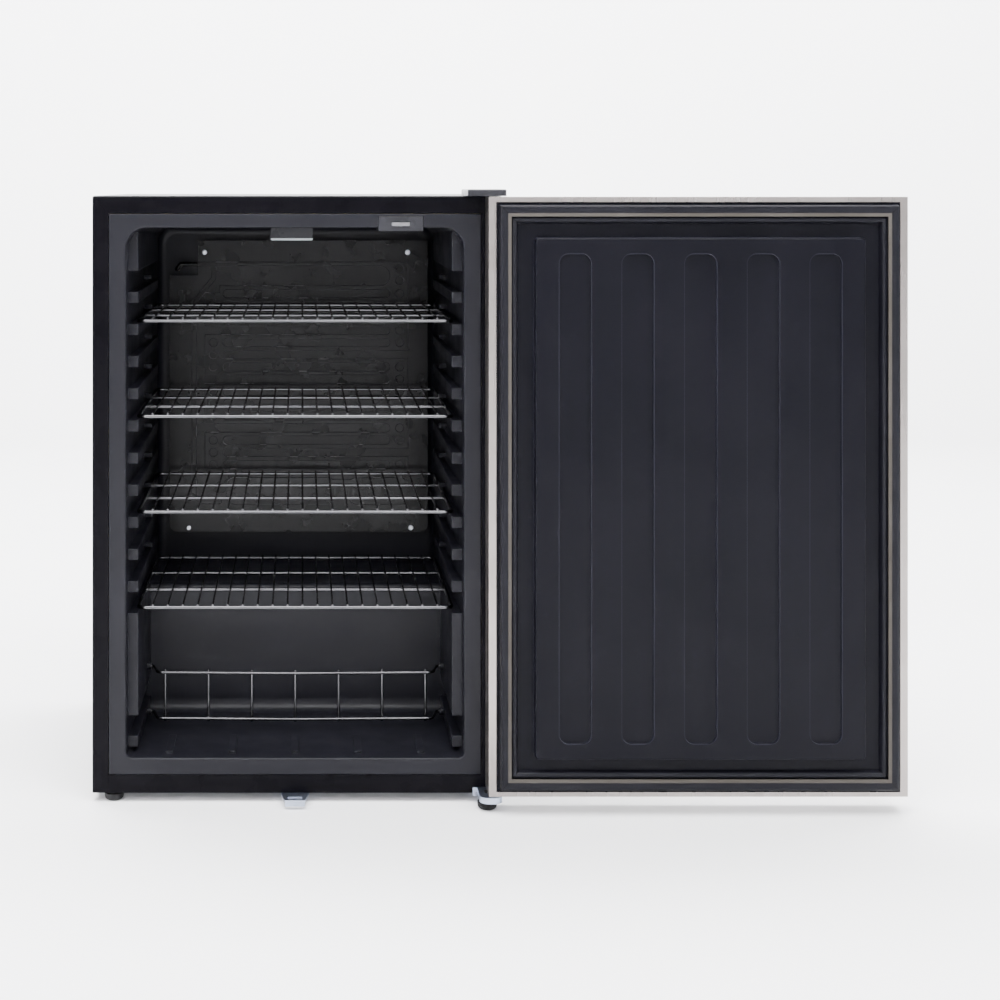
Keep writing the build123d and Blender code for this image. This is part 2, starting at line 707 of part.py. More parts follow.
def bottle_guard():
    """Wire fence that keeps bottles in front of the step: two rails and their uprights, welded."""
    guard = None
    end = rib_inner - touch
    for z in (guard_low, guard_high):
        points = [(-end, guard_return_y, z), (-guard_half + 2, guard_return_y, z),
                  (-guard_half + 10, guard_y, z), (0, guard_y - guard_bow, z),
                  (guard_half - 10, guard_y, z), (guard_half - 2, guard_return_y, z),
                  (end, guard_return_y, z)]
        rail = pipe(points, [4, 8, 200, 8, 4], guard_wire)
        guard = rail if guard is None else guard + rail
    for n in range(guard_bar_count):
        x = (n - (guard_bar_count - 1) / 2) * guard_bar_pitch
        lean = guard_bow * (1 - abs(x) / (guard_half - 10))
        start = (x, guard_y - lean + 2 * guard_wire - weld - 0.4, guard_low - 4)
        guard += rod(start, upright, guard_high - guard_low + 8, guard_wire)
    return guard


def guard_pegs():
    """Clips on the side walls that hold the ends of the guard's rails."""
    for side in (-1, 1):
        for z in (guard_low, guard_high):
            peg = ring((side * rib_inner, guard_return_y, z), (-side, 0, 0), 6.0, peg_radius,
                       guard_wire + 0.1)
            yield peg


# ---------------------------------------------------------------- shelves
shelf_half = rib_inner + 2.0    # axis of the shelf's side wires


def wire_rack():
    """A closed frame at height 0, two cross wires and long wires laid on top, all welded."""
    back = cavity_depth - shelf_back_gap
    depth = back - shelf_front
    frame_radius = shelf_wire / 2
    outline = Pos(0, (shelf_front + back) / 2) * RectangleRounded(2 * shelf_half, depth, shelf_corner)
    path = outline.wires()[0]
    start = path.position_at(0)
    rack = sweep(Plane(origin=start, z_dir=path.tangent_at(0)) * Circle(frame_radius), path=path)
    reach = shelf_half - 0.5
    for share in (1 / 3, 2 / 3):
        rack += rod((-reach, shelf_front + share * depth, 0), (1, 0, 0), 2 * reach, cross_wire / 2)
    grid_z = frame_radius + grid_wire / 2 - weld
    span = 2 * (shelf_half - grid_margin)
    for n in range(grid_count):
        x = -span / 2 + span * n / (grid_count - 1)
        rack += rod((x, shelf_front - 1.5, grid_z), backward, depth + 3, grid_wire / 2)
    return rack


# ---------------------------------------------------------------- hinges
washer_gap = touch
arm_top = door_bottom - 4.0
arm_bottom = arm_top - hinge_plate
hinge_arm_left = hinge_x - 21.0
hinge_arm_right = hinge_x + 9.5
hinge_nose = hinge_y - 13.0
pin_into_door = 21.0
cover_wall = 1.6
cover_height = 9.0


def hinge_backing_space():
    x0, x1 = hinge_x - 27.0, hinge_x + 4.0
    space = block(x0, x1, hem_depth + sheet, 46.0, body_top - sheet - backing_plate, body_top - sheet)
    for x, y in top_hinge_screws:
        space += rod((x, y, body_top - screw_into_body - 4), upright, screw_into_body, hinge_screw_radius)
    return space


def hinge_backing():
    """Steel plate foamed in under the top, which takes the top hinge's screws."""
    x0, x1 = hinge_x - 27.0, hinge_x + 4.0
    plate = block(x0, x1, hem_depth + sheet, 46.0, body_top - sheet - backing_plate, body_top - sheet)
    for x, y in top_hinge_screws:
        plate -= rod((x, y, body_top - 10), upright, 20, hinge_screw_radius)
    return plate


def top_hinge_bracket():
    plate = block(hinge_x - 28, hinge_arm_right, hinge_nose, 44, body_top, body_top + hinge_plate)
    nose = plate.edges().filter_by(Axis.Z).group_by(Axis.Y)[0]
    plate = fillet(nose, 9)
    for x, y in top_hinge_screws:
        plate -= rod((x, y, body_top - 1), upright, 10, hinge_screw_radius)
    return plate - rod((hinge_x, hinge_y, body_top - 1), upright, 10, pin_radius)


def bottom_hinge_bracket():
    """Zinc-plated bracket: a leg under the cabinet, a short web, and an arm for the pin and foot."""
    left, right = hinge_x - 27.0, hinge_x + 6.0
    low = body_bottom - hinge_plate
    bracket = block(left, right, 0, 45, low, body_bottom)
    bracket += block(left, right, -hinge_plate, 0, low, arm_top)
    arm = block(hinge_arm_left, hinge_arm_right, hinge_nose, 0, arm_bottom, arm_top)
    arm = fillet(arm.edges().filter_by(Axis.Z).group_by(Axis.Y)[0], 12)
    lip = block(hinge_arm_left, hinge_arm_right, hinge_nose, 0, arm_bottom - 5, arm_bottom)
    lip = fillet(lip.edges().filter_by(Axis.Z).group_by(Axis.Y)[0], 12)
    lip_inside = block(hinge_arm_left + 2, hinge_arm_right - 2, hinge_nose + 2, 1,
                       arm_bottom - 6, arm_bottom)
    lip_inside = fillet(lip_inside.edges().filter_by(Axis.Z).group_by(Axis.Y)[0], 10)
    bracket += arm + (lip - lip_inside)
    bracket -= rod((hinge_x, hinge_y, 0), upright, 40, pin_radius)
    bracket -= rod((right_foot_x, right_foot_y, 0), upright, 40, foot_stud_radius + pin_fit)
    for x, y in bottom_hinge_screws:
        bracket -= rod((x, y, 0), upright, body_bottom + 5, hinge_screw_radius)
    return bracket


def hinge_pins():
    lower = rod((hinge_x, hinge_y, arm_bottom), upright, pin_into_door + 5, pin_radius)
    upper = rod((hinge_x, hinge_y, door_top - pin_into_door), upright,
                pin_into_door + door_drop + hinge_plate, pin_radius)
    head = rod((hinge_x, hinge_y, body_top + hinge_plate), upright, 2.0, pin_radius + 2)
    return [fillet(lower.edges().sort_by(Axis.Z)[-1], 1), fillet(upper.edges().sort_by(Axis.Z)[0], 1) + head]


def hinge_screws():
    head_radius, head_height = 4.0, 2.4
    for x, y in top_hinge_screws:
        yield pan_screw((x, y, body_top + hinge_plate), (0, 0, -1), hinge_plate + screw_into_body,
                        hinge_screw_radius, head_radius, head_height)
    length = hinge_plate + 2 * sheet + screw_past_pan
    for x, y in bottom_hinge_screws:
        yield pan_screw((x, y, body_bottom - hinge_plate), upright, length, hinge_screw_radius,
                        head_radius, head_height)


def top_hinge_cover():
    x0, x1, y0, y1 = hinge_x - 38, hinge_x + 14, hinge_y - 17, 48
    cover = block(x0, x1, y0, y1, body_top, body_top + cover_height)
    cover = fillet(cover.edges().filter_by(Axis.Z), 5)
    cover = fillet(cover.faces().sort_by(Axis.Z)[-1].edges(), 2)
    w = cover_wall
    return cover - block(x0 + w, x1 - w, y0 + w, y1 - w, body_top - 1, body_top + cover_height - w)


def hinge_bushes():
    """Nylon bushes in the door, which turn on the hinge pins."""
    outer = pin_radius + bush_wall
    low = ring((hinge_x, hinge_y, arm_top + washer_gap), upright, bush_length, outer, pin_radius + pin_fit)
    low += ring((hinge_x, hinge_y, arm_top + washer_gap), upright,
                door_bottom - arm_top - washer_gap, outer + 1, pin_radius + pin_fit)
    high_top = body_top - washer_gap
    high = ring((hinge_x, hinge_y, high_top - bush_length), upright, bush_length, outer,
                pin_radius + pin_fit)
    high += ring((hinge_x, hinge_y, door_top), upright, high_top - door_top, outer + 1,
                 pin_radius + pin_fit)
    return [low, high]


# ---------------------------------------------------------------- door
lock_z = door_bottom + 22.0
lock_radius = 9.0
lock_inner_radius = 6.0
cam_front, cam_thickness = lip_y - 9.5, 3.0
cam_half, cam_length = 6.0, 39.0
cam_play = 1.0
lock_proud = 2.5


def bush_bores(grow=0.0):
    outer = pin_radius + bush_wall + grow
    low = rod((hinge_x, hinge_y, door_bottom - 5), upright,
              bush_length + 5 - (door_bottom - arm_top - washer_gap), outer)
    length = bush_length - (body_top - washer_gap - door_top)
    high = rod((hinge_x, hinge_y, door_top - length), upright, length + 5, outer)
    return low + high


def cam_pocket():
    """Room for the lock's cam to swing from level to straight down through the door's lower edge."""
    sweep_radius = cam_length + cam_play
    return block(-cam_half - cam_play, sweep_radius, cam_front - cam_play,
                 cam_front + cam_thickness + cam_play, door_bottom - 2, lock_z + cam_half + cam_play)


def door_skin():
    """Stainless pan with its edges folded back and returned inwards as narrow lips."""
    outer = block(-door_half, door_half, face_y, lip_y, door_bottom, door_top)
    front_edges = outer.faces().sort_by(Axis.Y)[0].edges()
    outer = fillet(front_edges, door_bend)
    s = sheet
    skin = outer - block(-door_half + s, door_half - s, face_y + s, lip_y + 1, door_bottom + s, door_top - s)
    lips = block(-door_half, door_half, lip_y - s, lip_y, door_bottom, door_top)
    lips -= block(-door_half + door_lip_side, door_half - door_lip_side, lip_y - 2 * s, lip_y + 1,
                  door_bottom + door_lip_bottom, door_top - door_lip_top)
    skin = skin + lips - bush_bores() - cam_pocket()
    skin -= rod((0, face_y - 5, lock_z), backward, 10, lock_radius)
    for x, z in handle_posts_places:
        skin -= rod((x, face_y - 5, z), backward, 10, handle_screw_radius)
    return skin


def plateau(shrink):
    """Raised middle of the door's lining, with its long grooves; shrink gives its inner side."""
    base = lip_y - sheet
    x = door_half - plateau_side - shrink
    low, high = door_bottom + plateau_bottom + shrink, door_top - plateau_top - shrink
    corner = plateau_corner - shrink
    top_y = base + plateau_rise - shrink
    solid = slab(rounded(-x, x, low, high, corner, corner), base - 2 * liner_wall, top_y)
    solid = fillet(solid.faces().sort_by(Axis.Y)[-1].edges(), plateau_edge - shrink)
    for n in range(groove_count):
        middle = (n - (groove_count - 1) / 2) * groove_pitch
        half = groove_width / 2 + shrink
        z0, z1 = low + groove_margin - 2 * shrink, high - groove_margin + 2 * shrink
        r = groove_corner + shrink
        cut = slab(rounded(middle - half, middle + half, z0, z1, r, r),
                   top_y - groove_depth, top_y + 5)
        cut = fillet(cut.faces().sort_by(Axis.Y)[0].edges(), groove_edge)
        solid -= cut
    return solid


def door_liner():
    base = lip_y - sheet
    x = door_half - sheet
    sheet_part = block(-x, x, base - liner_wall, base, door_bottom + sheet, door_top - sheet)
    liner = sheet_part + plateau(0) - plateau(liner_wall) - bush_bores()
    under = block(-x, x, base - 3 * liner_wall, base - liner_wall, door_bottom + sheet, door_top - sheet)
    return liner - under


def door_foam():
    s = sheet
    back = lip_y - s - liner_wall
    foam = block(-door_half + s, door_half - s, face_y + s, back, door_bottom + s, door_top - s)
    foam += plateau(liner_wall)
    inner_bend = door_bend - s
    foam -= bush_bores()
    foam -= cam_pocket()
    foam -= rod((0, face_y, lock_z), backward, cam_front - face_y, lock_radius)
    for x, z in handle_posts_places:
        foam -= rod((x, face_y, z), backward, handle_screw_length, handle_screw_radius)
    return foam & inner_block(inner_bend)


def inner_block(bend):
    """Inside of the stainless pan, with its softly bent front edges."""
    s = sheet
    reach = 40
    inside = block(-door_half + s, door_half - s, face_y + s, lip_y + reach, door_bottom + s, door_top - s)
    return fillet(inside.faces().sort_by(Axis.Y)[0].edges(), bend)


def gasket_profile_steps():
    """Half-insets and heights of the gasket: base, bellows and sealing bead."""
    base = lip_y - sheet
    return [(0.0, base, base + 3.0), (3.0, base + 3.0, base + 9.0), (6.0, base + 9.0, -gasket_gap)]


def gasket_magnet_strips():
    """Four magnetic strips inside the sealing bead."""
    inset = gasket_inset + (gasket_width - magnet_width) / 2
    ends = gasket_inset_ends + (gasket_width - magnet_width) / 2
    x = door_half - inset
    low, high = door_bottom + ends, door_top - ends
    y0 = -gasket_gap - 1.2 - magnet_height
    y1 = y0 + magnet_height
    strips = [block(-x, x, y0, y1, z, z + magnet_width) for z in (low, high - magnet_width)]
    for side in (-1, 1):
        a, b = sorted((side * x, side * (x - magnet_width)))
        strips.append(block(a, b, y0, y1, low + magnet_width, high - magnet_width))
    return strips


def door_gasket():
    x = door_half - gasket_inset
    low, high = door_bottom + gasket_inset_ends, door_top - gasket_inset_ends
    gasket = None
    for inset, y0, y1 in gasket_profile_steps():
        step = frame_slab(x - inset, low + inset, high - inset, gasket_width - 2 * inset, y0, y1)
        if y1 > -1:
            step = fillet(step.faces().sort_by(Axis.Y)[-1].edges(), 1.2)
        gasket = step if gasket is None else gasket + step
    for strip in gasket_magnet_strips():
        gasket -= strip
    for side in (-1, 1):
        for z in (low + gasket_width, high - gasket_width):
            corner = (side * (x - gasket_width), lip_y - sheet - 1, z)
            gasket -= rod(corner, backward, 6, 1.6)
    return gasket


handle_x = -door_half + 43.0
handle_radius = 7.0
handle_stand_off = 38.0
handle_length = 340.0
handle_post_radius = 5.5
handle_post_inset = 32.0
handle_middle = (door_bottom + door_top) / 2 + 60.0
handle_screw_radius = 2.5
handle_screw_length = 16.0
handle_reach = handle_length / 2 - handle_post_inset
handle_posts_places = [(handle_x, handle_middle + side * handle_reach) for side in (-1, 1)]


def door_handle():
    """Tubular pull with two posts welded to it, each tapped for a screw from inside the door."""
    low = handle_middle - handle_length / 2
    bar = rod((handle_x, face_y - handle_stand_off, low), upright, handle_length, handle_radius)
    handle = fillet(bar.edges().filter_by(GeomType.CIRCLE), 2)
    for x, z in handle_posts_places:
        handle += rod((x, face_y - handle_stand_off, z), backward, handle_stand_off, handle_post_radius)
    for x, z in handle_posts_places:
        handle -= rod((x, face_y - 12, z), backward, 12, handle_screw_radius)
    return handle


def handle_screws():
    for x, z in handle_posts_places:
        shank = rod((x, face_y - 11, z), backward, 11 + sheet, handle_screw_radius)
        head = rod((x, face_y + sheet, z), backward, 2.5, handle_screw_radius)
        yield shank + head


# ---------------------------------------------------------------- door lock
def lock_housing():
    """Sleeve clamped in the door's face, in which the lock plug turns."""
    length = cam_front - face_y - cam_play
    sleeve = ring((0, face_y - lock_proud, lock_z), backward, length + lock_proud, lock_radius,
                  lock_inner_radius + pin_fit)
    collar = ring((0, face_y - lock_proud, lock_z), backward, lock_proud, lock_radius + 3,
                  lock_inner_radius + pin_fit)
    return sleeve + fillet(collar.edges().group_by(Axis.Y)[0].sort_by(SortBy.LENGTH)[-1], 1)


def lock_cam():
    """Key plug with its flat cam, drawn unlocked with the cam lying level."""
    front = face_y - lock_proud + 0.5
    plug = rod((0, front, lock_z), backward, cam_front + cam_thickness - front, lock_inner_radius)
    key_slot = block(-0.8, 0.8, front - 1, front + 6, lock_z - 4, lock_z + 4)
    blade = block(0, cam_length, cam_front, cam_front + cam_thickness, lock_z - cam_half, lock_z + cam_half)
    tip = blade.edges().filter_by(Axis.Y).group_by(Axis.X)[-1]
    return plug - key_slot + fillet(tip, 3)


def lock_keeper():
    """Zinc-plated tongue screwed under the front rail; the cam drops through its slot."""
    wide, narrow, reach = 19.0, 13.5, 29.0
    arm = make_face(Polyline((-wide, 0), (wide, 0), (narrow, -reach), (-narrow, -reach), close=True))
    keeper = Pos(0, 0, body_bottom - keeper_plate) * extrude(arm, keeper_plate)
    keeper += block(-wide, wide, 0, rail_foot, body_bottom - keeper_plate, body_bottom)
    keeper += block(-narrow, narrow, -reach, -reach + keeper_plate, body_bottom - 8, body_bottom)
    slot_half = cam_half + 3.5
    slot_middle = cam_front + cam_thickness / 2
    keeper -= block(-slot_half, slot_half, slot_middle - 4, slot_middle + 4, 0, body_bottom + 5)
    for x, y in keeper_screw_places:
        keeper -= rod((x, y, 0), upright, body_bottom + 5, panel_screw_radius)
    return keeper


# ---------------------------------------------------------------- feet
def levelling_foot(x, y, stud_top):
    """Screw-in foot: a domed plastic pad on a stud."""
    pad_height = foot_height - 2.5
    pad = rod((x, y, 0), upright, pad_height, foot_pad_radius)
    pad = fillet(pad.edges().sort_by(Axis.Z)[0], 5.5)
    pad = fillet(pad.edges().filter_by(GeomType.CIRCLE).sort_by(Axis.Z)[-1], 1.5)
    return pad + rod((x, y, pad_height), upright, stud_top - pad_height, foot_stud_radius)


def foot_insert():
    low = body_bottom + 2 * sheet
    return ring((left_foot_x, left_foot_y, low), upright, insert_height, insert_radius,
                foot_stud_radius + pin_fit)


def rear_feet():
    for side in (-1, 1):
        x, y = side * (half_width - 30), cabinet_depth - 22
        foot = Solid.make_cone(10, 14, foot_height, Plane(origin=(x, y, 0), z_dir=upright))
        yield fillet(foot.edges().filter_by(GeomType.CIRCLE).sort_by(Axis.Z)[0], 2)


# ---------------------------------------------------------------- compressor compartment
mount_front = compartment_y + 42.0
mount_back = compartment_y + 158.0
mount_thickness = 2.0
compressor_x, compressor_y = 40.0, compartment_y + 100.0
compressor_half_x, compressor_half_y = 92.0, 66.0
compressor_low = body_bottom + 21.0
compressor_high = compressor_low + 130.0
seam_z = compressor_low + 62.0
feet_plate = 3.0
feet_low = compressor_low - feet_plate
grommet_radius = 9.0
bolt_radius = 3.5
bolt_places = [(compressor_x + sx * 80, compressor_y + sy * 46) for sx in (-1, 1) for sy in (-1, 1)]
gland_x, gland_z = -150.0, body_bottom + 13.0
gland_neck, gland_flange, gland_bore = 7.0, 10.0, 4.0
tray_wall = 1.6
tray_height = 20.0
condenser_y = cabinet_depth + 10.5
condenser_tube_radius = 2.5
condenser_pitch = 46.0
condenser_passes = 11
condenser_half = 205.0
condenser_side_leg = 222.0
condenser_top = body_top - 80.0
condenser_wire = 0.8
condenser_wire_pitch = 15.0
condenser_wire_count = 27
leg_end = body_bottom + 137.0


def compressor_mount_plate():
    end = half_width - sheet
    low = body_bottom + sheet
    plate = block(-end, end, mount_front, mount_back, low, low + mount_thickness)
    plate += block(-end, end, mount_front, mount_front + mount_thickness, low, low + 12)
    plate += block(-end, end, mount_back - mount_thickness, mount_back, low, low + 12)
    for x, y in bolt_places:
        plate -= rod((x, y, 0), upright, 40, bolt_radius)
    return plate


def compressor_shell():
    """Sealed motor case: two drawn steel halves welded at a flange, on a flat foot plate."""
    lower = Ellipse(compressor_half_x, compressor_half_y)
    half_low = Pos(compressor_x, compressor_y, compressor_low) * extrude(lower, seam_z - compressor_low)
    half_low = fillet(half_low.edges().sort_by(Axis.Z)[0], 22)
    upper_height = compressor_high - seam_z
    half_high = Pos(compressor_x, compressor_y, seam_z) * extrude(
        Ellipse(compressor_half_x - 3, compressor_half_y - 3), upper_height)
    half_high = fillet(half_high.edges().sort_by(Axis.Z)[-1], 26)
    rim = Pos(compressor_x, compressor_y, seam_z - 3) * extrude(
        Ellipse(compressor_half_x + 4, compressor_half_y + 4), 5)
    half_x, half_y = compressor_half_x, compressor_half_y - 8
    plate = block(compressor_x - half_x, compressor_x + half_x, compressor_y - half_y,
                  compressor_y + half_y, feet_low, compressor_low)
    plate = fillet(plate.edges().filter_by(Axis.Z), 12)
    for x, y in bolt_places:
        plate -= rod((x, y, 0), upright, 60, bolt_radius)
    return half_low + rim + half_high + plate


def compressor_grommets():
    low = body_bottom + sheet + mount_thickness
    for x, y in bolt_places:
        body = ring((x, y, low), upright, feet_low - low, grommet_radius, bolt_radius)
        yield body


def compressor_bolts():
    for x, y in bolt_places:
        head = Pos(x, y, body_bottom + sheet - 4) * extrude(RegularPolygon(6.0, 6), 4)
        nut = Pos(x, y, compressor_low) * extrude(RegularPolygon(6.0, 6), 5)
        shank = rod((x, y, body_bottom + sheet), upright, compressor_low + 8 - body_bottom - sheet,
                    bolt_radius)
        yield head + shank + nut


def starter_box(shell):
    y0 = compressor_y + compressor_half_y - 24
    box = block(compressor_x - 30, compressor_x + 30, y0, y0 + 50, seam_z - 50, seam_z - 4)
    box = fillet(box.faces().sort_by(Axis.Y)[-1].edges(), 3)
    return box - shell


def drip_tray():
    x0, x1 = compressor_x - 70, compressor_x + 70
    y0, y1 = compressor_y - 50, compressor_y + 58
    z0, z1 = compressor_high, compressor_high + tray_height
    tray = block(x0, x1, y0, y1, z0, z1)
    tray = fillet(tray.edges().filter_by(Axis.Z), 8)
    inner = block(x0 + tray_wall, x1 - tray_wall, y0 + tray_wall, y1 - tray_wall, z0 + tray_wall, z1 + 1)
    return tray - fillet(inner.edges().filter_by(Axis.Z), 8 - tray_wall)


def drain_tube():
    bottom = compressor_high + tray_wall + 6
    tube = ring((drain_x, drain_y, bottom), upright, hump_top - bottom, drain_outer, drain_inner)
    return tube + ring((drain_x, drain_y, hump_top), upright, drain_flange_thickness, drain_flange,
                       drain_inner)


def suction_tube():
    x = compressor_x + compressor_half_x
    z = seam_z + 30
    start_x = x - 9
    points = [(start_x, compressor_y, z), (suction_x, compressor_y, z),
              (suction_x, suction_y, compartment_top + tube_into_foam)]
    return pipe(points, [25], suction_radius)


def condenser_tube():
    """From the compressor round to the back and up, then down as a serpentine to the drier."""
    y = condenser_y
    start_x = compressor_x - compressor_half_x + 9
    start_z = seam_z + 30
    points = [(start_x, compressor_y, start_z), (-condenser_side_leg, compressor_y, start_z),
              (-condenser_side_leg, y, start_z), (-condenser_side_leg, y, condenser_top)]
    side = 1
    for n in range(condenser_passes):
        z = condenser_top - condenser_pitch * n
        if n:
            points.append((-side * condenser_half, y, z))
        points.append((side * condenser_half, y, z))
        side = -side
    points.append((condenser_half, y, leg_end + 20))
    points.append((condenser_half, capillary_y, leg_end + 20))
    points.append((condenser_half, capillary_y, leg_end))
    bends = [25, 14, 14] + [condenser_pitch / 2 - 1] * (2 * condenser_passes - 2) + [20, 12, 12]
    return pipe(points, bends, condenser_tube_radius)


def condenser_wires():
    top = condenser_top + 14
    bottom = condenser_top - condenser_pitch * (condenser_passes - 1) - 14
    y = condenser_y + condenser_tube_radius + condenser_wire + 0.05
    for n in range(condenser_wire_count):
        x = (n - (condenser_wire_count - 1) / 2) * condenser_wire_pitch
        yield rod((x, y, bottom), upright, top - bottom, condenser_wire)


def condenser_clips():
    """Plastic saddles that hold the serpentine off the back panel."""
    for side in (-1, 1):
        for n in (1, condenser_passes - 2):
            z = condenser_top - condenser_pitch * n
            x = side * (condenser_half - 45)
            body = block(x - 5, x + 5, panel_back, condenser_y, z - 7, z + 7)
            yield body - rod((x - 10, condenser_y, z), (1, 0, 0), 20, condenser_tube_radius + 0.05)


def filter_drier():
    height = 75.0
    top = leg_end
    body = rod((condenser_half, capillary_y, top - height), upright, height, 9.0)
    body = fillet(body.edges().filter_by(GeomType.CIRCLE), 4)
    return body


def capillary_tube():
    bottom = leg_end - 75.0
    points = [(condenser_half, capillary_y, bottom), (condenser_half, capillary_y, bottom - 14),
              (capillary_x, capillary_y, bottom - 14),
              (capillary_x, capillary_y, compartment_top + tube_into_foam)]
    return pipe(points, [8, 8], capillary_radius)


def cord_gland():
    """Grommet in the rear rail where the supply lead would leave."""
    neck = ring((gland_x, panel_back - 6, gland_z), backward, 14, gland_neck, gland_bore)
    flange = ring((gland_x, cabinet_depth, gland_z), backward, 3, gland_flange, gland_bore)
    inner = ring((gland_x, panel_back - 6, gland_z), backward, 3, gland_flange - 1, gland_bore)
    return neck + flange + inner


# ---------------------------------------------------------------- write every piece
write("outer_wrap", outer_wrap())
write("front_rail", front_rail())
write("rear_rail", rear_rail())
write("base_pan", base_pan())
write("compartment_panel", compartment_panel())
write("back_panel", back_panel())
write("cabinet_screws", *cabinet_screws())
write("inner_liner", inner_liner())
write("insulation_foam", insulation_foam())
write("evaporator_plate", evaporator_plate())
write("evaporator_standoffs", *evaporator_standoffs())
write("evaporator_screws", *evaporator_screw_set())
write("evaporator_joint_tube", evaporator_joint_tube())
write("control_housing", control_housing())
write("thermostat_wheel", thermostat_wheel())
write("thermostat_body", thermostat_body())
write("lamp_housing", lamp_housing())
write("lamp_board", lamp_board())
write("lamp_lens", lamp_lens())
write("bottle_guard", bottle_guard())
write("guard_pegs", *guard_pegs())
rack = wire_rack()
for number, rib_top in enumerate(shelf_tops, 1):
    write(f"wire_shelf_{number}", Pos(0, 0, rib_top + touch + shelf_wire / 2) * rack)
write("hinge_backing", hinge_backing())
write("top_hinge_bracket", top_hinge_bracket())
write("bottom_hinge_bracket", bottom_hinge_bracket())
write("hinge_pins", *hinge_pins())
write("hinge_screws", *hinge_screws())
write("top_hinge_cover", top_hinge_cover())
write("hinge_bushes", *[opened(bush) for bush in hinge_bushes()])
write("door_skin", opened(door_skin()))
write("door_liner", opened(door_liner()))
write("door_foam", opened(door_foam()))
write("door_gasket", opened(door_gasket()))
write("gasket_magnets", *[opened(strip) for strip in gasket_magnet_strips()])
write("door_handle", opened(door_handle()))
write("handle_screws", *[opened(screw) for screw in handle_screws()])
write("lock_housing", opened(lock_housing()))
write("lock_cam", opened(lock_cam()))
write("lock_keeper", lock_keeper())
left_foot_top = body_bottom + 2 * sheet + insert_height
write("levelling_foot_left", levelling_foot(left_foot_x, left_foot_y, left_foot_top))
write("levelling_foot_right", levelling_foot(right_foot_x, right_foot_y, arm_top + 2))
write("foot_insert", foot_insert())
write("rear_feet", *rear_feet())
write("compressor_mount_plate", compressor_mount_plate())
shell = compressor_shell()
write("compressor_shell", shell)
write("compressor_grommets", *compressor_grommets())
write("compressor_bolts", *compressor_bolts())
write("starter_box", starter_box(shell))
write("drip_tray", drip_tray())
write("drain_tube", drain_tube())
write("suction_tube", suction_tube() - shell)
write("condenser_tube", condenser_tube() - shell)
write("condenser_wires", *condenser_wires())
write("condenser_clips", *condenser_clips())
write("filter_drier", filter_drier())
write("capillary_tube", capillary_tube())
write("cord_gland", cord_gland())
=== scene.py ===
import json
import math

import bmesh
import bpy
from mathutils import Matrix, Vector


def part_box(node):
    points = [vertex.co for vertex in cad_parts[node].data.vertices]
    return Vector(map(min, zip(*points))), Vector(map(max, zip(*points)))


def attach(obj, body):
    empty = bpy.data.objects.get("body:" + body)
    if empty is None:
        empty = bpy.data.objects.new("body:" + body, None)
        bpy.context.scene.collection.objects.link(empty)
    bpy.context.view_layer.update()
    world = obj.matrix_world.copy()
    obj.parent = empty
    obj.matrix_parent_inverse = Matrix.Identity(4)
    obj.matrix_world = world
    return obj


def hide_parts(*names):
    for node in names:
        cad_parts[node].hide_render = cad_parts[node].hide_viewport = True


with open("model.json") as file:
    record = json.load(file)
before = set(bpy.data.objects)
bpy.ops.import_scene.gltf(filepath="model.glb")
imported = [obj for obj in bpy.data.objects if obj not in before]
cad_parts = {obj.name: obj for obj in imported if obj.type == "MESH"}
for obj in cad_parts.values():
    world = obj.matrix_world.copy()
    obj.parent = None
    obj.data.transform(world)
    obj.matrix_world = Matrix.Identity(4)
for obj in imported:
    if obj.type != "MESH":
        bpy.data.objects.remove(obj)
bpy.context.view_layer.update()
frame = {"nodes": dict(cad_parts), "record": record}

nodes = frame["nodes"]
print("frame loaded:", len(nodes), "nodes")


def deselectAll():
    if bpy.context.object and bpy.context.object.mode != "OBJECT":
        bpy.ops.object.mode_set(mode="OBJECT")
    bpy.ops.object.select_all(action="DESELECT")


# camera: level, standing in front of the cabinet, with the frame slid right and down
view = {"place": (0.0068, -2.3, 0.838), "lens": 61.1, "sensor": 36, "shiftX": 0.2, "shiftY": -0.316}
cameraData = bpy.data.cameras.new("frontCamera")
camera = bpy.data.objects.new("frontCamera", cameraData)
bpy.context.scene.collection.objects.link(camera)
camera.location = view["place"]
camera.rotation_euler = (math.radians(90), 0, 0)
cameraData.lens = view["lens"]
cameraData.sensor_width = view["sensor"]
cameraData.shift_x = view["shiftX"]
cameraData.shift_y = view["shiftY"]
bpy.context.scene.camera = camera

# studio: one pale sheet that runs from the floor up behind the object
studio = {"halfWidth": 6.0, "front": -5.0, "back": 3.2, "height": 5.0, "sweep": 1.2,
          "sweepSteps": 16, "near": 0.01}
deselectAll()
bpy.ops.mesh.primitive_plane_add(size=1, location=(0, 0, 0))
backdrop = bpy.context.object
backdrop.name = "backdrop"
bpy.ops.object.mode_set(mode="EDIT")
bpy.ops.transform.resize(value=(2 * studio["halfWidth"], studio["back"] - studio["front"], 1))
bpy.ops.transform.translate(value=(0, (studio["back"] + studio["front"]) / 2, 0))
sheetMesh = bmesh.from_edit_mesh(backdrop.data)
rear = max(e.verts[0].co.y + e.verts[1].co.y for e in sheetMesh.edges)
for edge in sheetMesh.edges:
    edge.select_set(abs(edge.verts[0].co.y + edge.verts[1].co.y - rear) < studio["near"])
bmesh.update_edit_mesh(backdrop.data)
bpy.ops.mesh.extrude_region_move(TRANSFORM_OT_translate={"value": (0, 0, studio["height"])})
bpy.ops.mesh.select_all(action="DESELECT")
sheetMesh = bmesh.from_edit_mesh(backdrop.data)
for edge in sheetMesh.edges:
    corner = all(abs(v.co.z) < studio["near"] and abs(v.co.y - studio["back"]) < studio["near"]
                 for v in edge.verts)
    edge.select_set(corner)
bmesh.update_edit_mesh(backdrop.data)
bpy.ops.mesh.bevel(offset=studio["sweep"], segments=studio["sweepSteps"], affect="EDGES")
bpy.ops.object.mode_set(mode="OBJECT")
